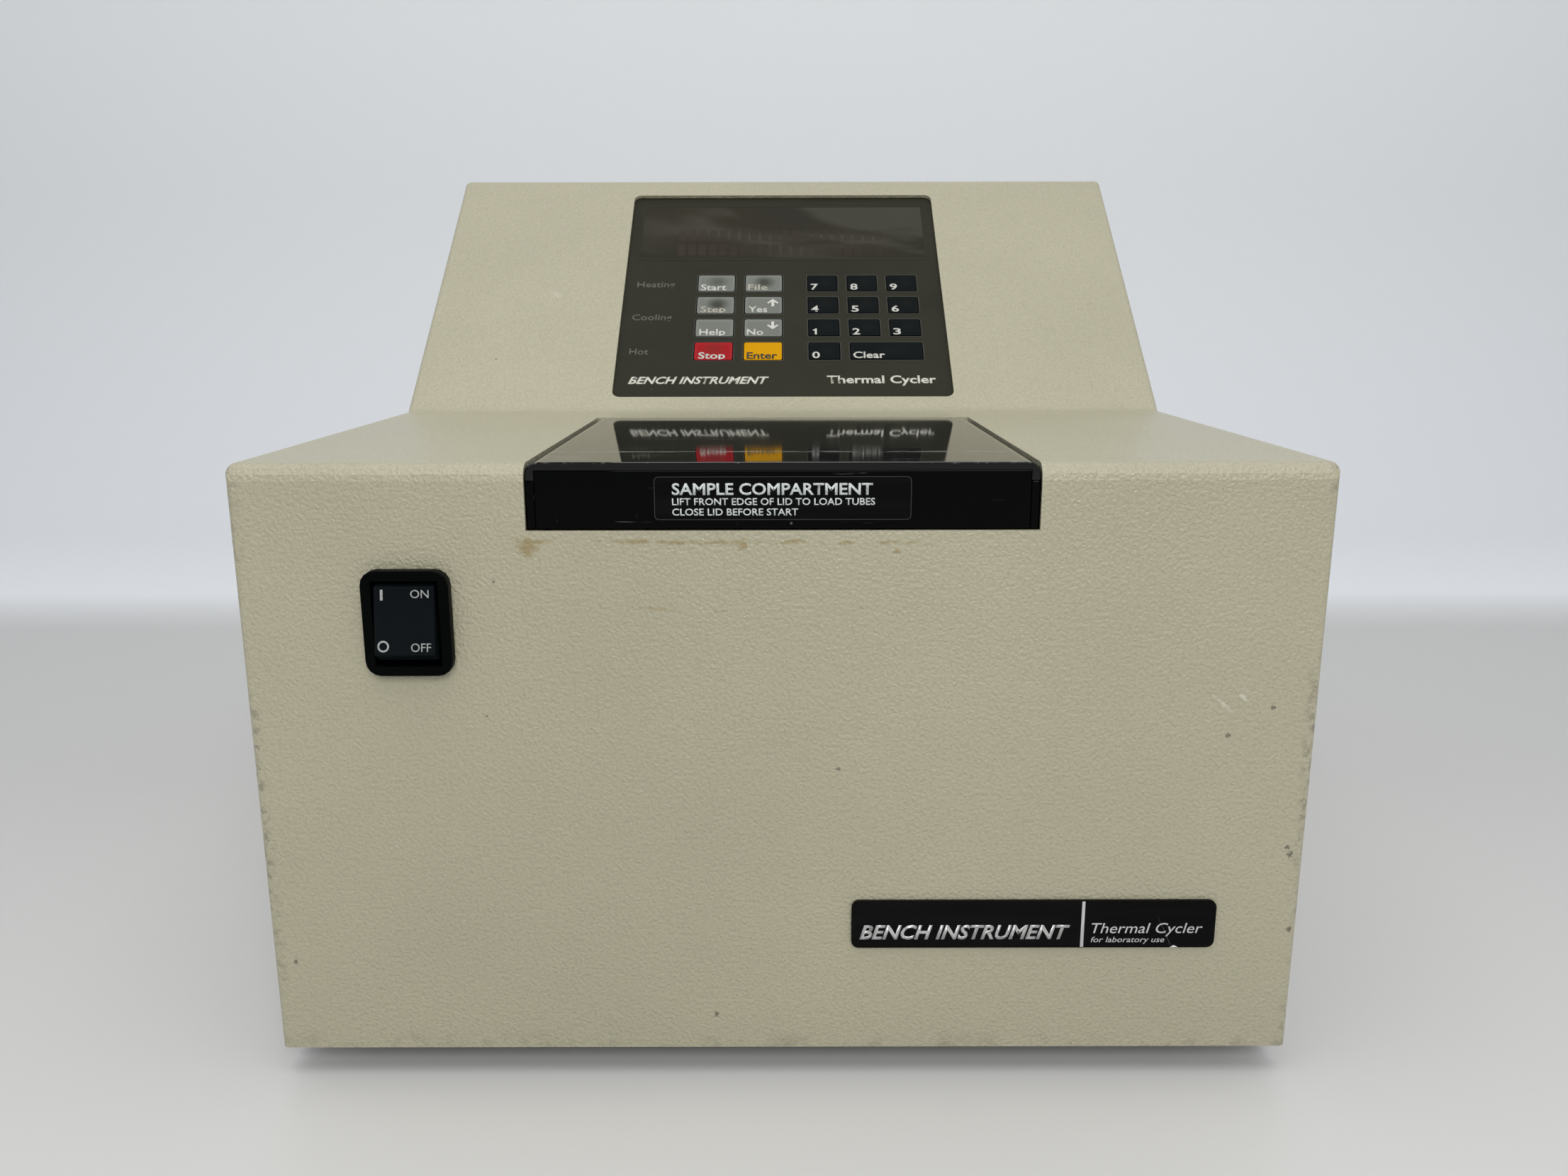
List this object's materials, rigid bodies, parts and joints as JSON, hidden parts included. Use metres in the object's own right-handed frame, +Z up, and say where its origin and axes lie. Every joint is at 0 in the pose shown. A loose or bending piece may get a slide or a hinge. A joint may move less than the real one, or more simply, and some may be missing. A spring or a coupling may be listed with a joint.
{
  "type": "thermal cycler",
  "caption": "Bench thermal cycler: flip-up lid over a tube block, sloping keypad console with display, rocker switch, cooling loop and fan inside a painted sheet cover.",
  "frame": {"origin": "on the bench, under the centre of the machine's box, front switch and rear fuse cap included", "axes": "+X to the right seen from the front, +Y from the front to the rear, +Z up"},
  "size_m": [0.3302, 0.4469, 0.3108],
  "materials": {
    "cover_paint": "textured satin powder paint",
    "zinc_steel": "zinc-plated sheet steel",
    "rubber": "matt moulded rubber",
    "black_acrylic": "polished black acrylic sheet",
    "black_plastic": "satin moulded plastic",
    "overlay_film": "printed polyester overlay",
    "smoked_window": "smoked clear window",
    "key_grey": "embossed overlay key, grey",
    "key_black": "embossed overlay key, black",
    "key_red": "embossed overlay key, red",
    "key_amber": "embossed overlay key, amber",
    "label_film": "printed label film",
    "aluminium": "machined",
    "foam": "closed-cell foam",
    "copper": "drawn copper pipe",
    "circuit_board": "solder mask",
    "display_glass": "display glass on its board",
    "compressor_black": "gloss black enamel",
    "transformer_iron": "laminated core, varnished",
    "heater_film": "polyimide film"
  },
  "bodies": {
    "chassis": {"housing_cover": "cover_paint", "base_pan": "zinc_steel", "rear_panel": "zinc_steel", "block_tray": "black_plastic", "sample_block": "aluminium", "block_heater": "heater_film", "cooling_plate": "aluminium", "block_insulation": "foam", "block_stand": "zinc_steel", "hinge_leaf_deck": "zinc_steel", "hinge_pin": "zinc_steel", "control_overlay": "overlay_film", "display_window": "smoked_window", "keypad_plate": "aluminium", "display_module": "display_glass", "switch_housing": "black_plastic", "nameplate": "label_film", "fan_frame": "black_plastic", "fan_guard": "zinc_steel", "power_inlet": "black_plastic", "fuse_holder": "black_plastic", "data_port": "zinc_steel", "compressor": "compressor_black", "condenser": "aluminium", "discharge_pipe": "copper", "liquid_pipe": "copper", "suction_pipe": "copper", "power_transformer": "transformer_iron", "control_board": "circuit_board", "foot_front_left": "rubber", "foot_front_right": "rubber", "foot_rear_left": "rubber", "foot_rear_right": "rubber"},
    "lid": {"lid_top": "black_acrylic", "lid_front": "black_acrylic", "lid_wall_left": "black_acrylic", "lid_wall_right": "black_acrylic", "lid_label": "label_film", "hinge_leaf_lid": "zinc_steel"},
    "power_rocker": {"power_rocker": "black_plastic"},
    "fan_rotor": {"fan_rotor": "black_plastic"},
    "key_start": {"key_start": "key_grey"},
    "key_file": {"key_file": "key_grey"},
    "key_step": {"key_step": "key_grey"},
    "key_yes": {"key_yes": "key_grey"},
    "key_help": {"key_help": "key_grey"},
    "key_no": {"key_no": "key_grey"},
    "key_stop": {"key_stop": "key_red"},
    "key_enter": {"key_enter": "key_amber"},
    "key_7": {"key_7": "key_black"},
    "key_8": {"key_8": "key_black"},
    "key_9": {"key_9": "key_black"},
    "key_4": {"key_4": "key_black"},
    "key_5": {"key_5": "key_black"},
    "key_6": {"key_6": "key_black"},
    "key_1": {"key_1": "key_black"},
    "key_2": {"key_2": "key_black"},
    "key_3": {"key_3": "key_black"},
    "key_0": {"key_0": "key_black"},
    "key_clear": {"key_clear": "key_black"}
  },
  "joints": [
    {"name": "lid_hinge", "type": "hinge", "parent": "chassis", "child": "lid", "pos_m": [0, -0.06923, 0.199], "axis": [-1, 0, 0], "range_deg": [0, 95]},
    {"name": "power_rock", "type": "hinge", "parent": "chassis", "child": "power_rocker", "pos_m": [-0.113, -0.21283, 0.155], "axis": [1, 0, 0], "range_deg": [0, 20]},
    {"name": "fan_spin", "type": "hinge", "parent": "chassis", "child": "fan_rotor", "pos_m": [0.078, 0.19107, 0.106], "axis": [0, 1, 0], "continuous": true},
    {"name": "key_start_press", "type": "slide", "parent": "chassis", "child": "key_start", "axis": [0, 0.6426, -0.7662], "range_m": [0, 0.0005], "stiffness_N_per_m": 1500, "springref_m": -0.0001},
    {"name": "key_file_press", "type": "slide", "parent": "chassis", "child": "key_file", "axis": [0, 0.6426, -0.7662], "range_m": [0, 0.0005], "stiffness_N_per_m": 1500, "springref_m": -0.0001},
    {"name": "key_step_press", "type": "slide", "parent": "chassis", "child": "key_step", "axis": [0, 0.6426, -0.7662], "range_m": [0, 0.0005], "stiffness_N_per_m": 1500, "springref_m": -0.0001},
    {"name": "key_yes_press", "type": "slide", "parent": "chassis", "child": "key_yes", "axis": [0, 0.6426, -0.7662], "range_m": [0, 0.0005], "stiffness_N_per_m": 1500, "springref_m": -0.0001},
    {"name": "key_help_press", "type": "slide", "parent": "chassis", "child": "key_help", "axis": [0, 0.6426, -0.7662], "range_m": [0, 0.0005], "stiffness_N_per_m": 1500, "springref_m": -0.0001},
    {"name": "key_no_press", "type": "slide", "parent": "chassis", "child": "key_no", "axis": [0, 0.6426, -0.7662], "range_m": [0, 0.0005], "stiffness_N_per_m": 1500, "springref_m": -0.0001},
    {"name": "key_stop_press", "type": "slide", "parent": "chassis", "child": "key_stop", "axis": [0, 0.6426, -0.7662], "range_m": [0, 0.0005], "stiffness_N_per_m": 1500, "springref_m": -0.0001},
    {"name": "key_enter_press", "type": "slide", "parent": "chassis", "child": "key_enter", "axis": [0, 0.6426, -0.7662], "range_m": [0, 0.0005], "stiffness_N_per_m": 1500, "springref_m": -0.0001},
    {"name": "key_7_press", "type": "slide", "parent": "chassis", "child": "key_7", "axis": [0, 0.6426, -0.7662], "range_m": [0, 0.0005], "stiffness_N_per_m": 1500, "springref_m": -0.0001},
    {"name": "key_8_press", "type": "slide", "parent": "chassis", "child": "key_8", "axis": [0, 0.6426, -0.7662], "range_m": [0, 0.0005], "stiffness_N_per_m": 1500, "springref_m": -0.0001},
    {"name": "key_9_press", "type": "slide", "parent": "chassis", "child": "key_9", "axis": [0, 0.6426, -0.7662], "range_m": [0, 0.0005], "stiffness_N_per_m": 1500, "springref_m": -0.0001},
    {"name": "key_4_press", "type": "slide", "parent": "chassis", "child": "key_4", "axis": [0, 0.6426, -0.7662], "range_m": [0, 0.0005], "stiffness_N_per_m": 1500, "springref_m": -0.0001},
    {"name": "key_5_press", "type": "slide", "parent": "chassis", "child": "key_5", "axis": [0, 0.6426, -0.7662], "range_m": [0, 0.0005], "stiffness_N_per_m": 1500, "springref_m": -0.0001},
    {"name": "key_6_press", "type": "slide", "parent": "chassis", "child": "key_6", "axis": [0, 0.6426, -0.7662], "range_m": [0, 0.0005], "stiffness_N_per_m": 1500, "springref_m": -0.0001},
    {"name": "key_1_press", "type": "slide", "parent": "chassis", "child": "key_1", "axis": [0, 0.6426, -0.7662], "range_m": [0, 0.0005], "stiffness_N_per_m": 1500, "springref_m": -0.0001},
    {"name": "key_2_press", "type": "slide", "parent": "chassis", "child": "key_2", "axis": [0, 0.6426, -0.7662], "range_m": [0, 0.0005], "stiffness_N_per_m": 1500, "springref_m": -0.0001},
    {"name": "key_3_press", "type": "slide", "parent": "chassis", "child": "key_3", "axis": [0, 0.6426, -0.7662], "range_m": [0, 0.0005], "stiffness_N_per_m": 1500, "springref_m": -0.0001},
    {"name": "key_0_press", "type": "slide", "parent": "chassis", "child": "key_0", "axis": [0, 0.6426, -0.7662], "range_m": [0, 0.0005], "stiffness_N_per_m": 1500, "springref_m": -0.0001},
    {"name": "key_clear_press", "type": "slide", "parent": "chassis", "child": "key_clear", "axis": [0, 0.6426, -0.7662], "range_m": [0, 0.0005], "stiffness_N_per_m": 1500, "springref_m": -0.0001}
  ]
}
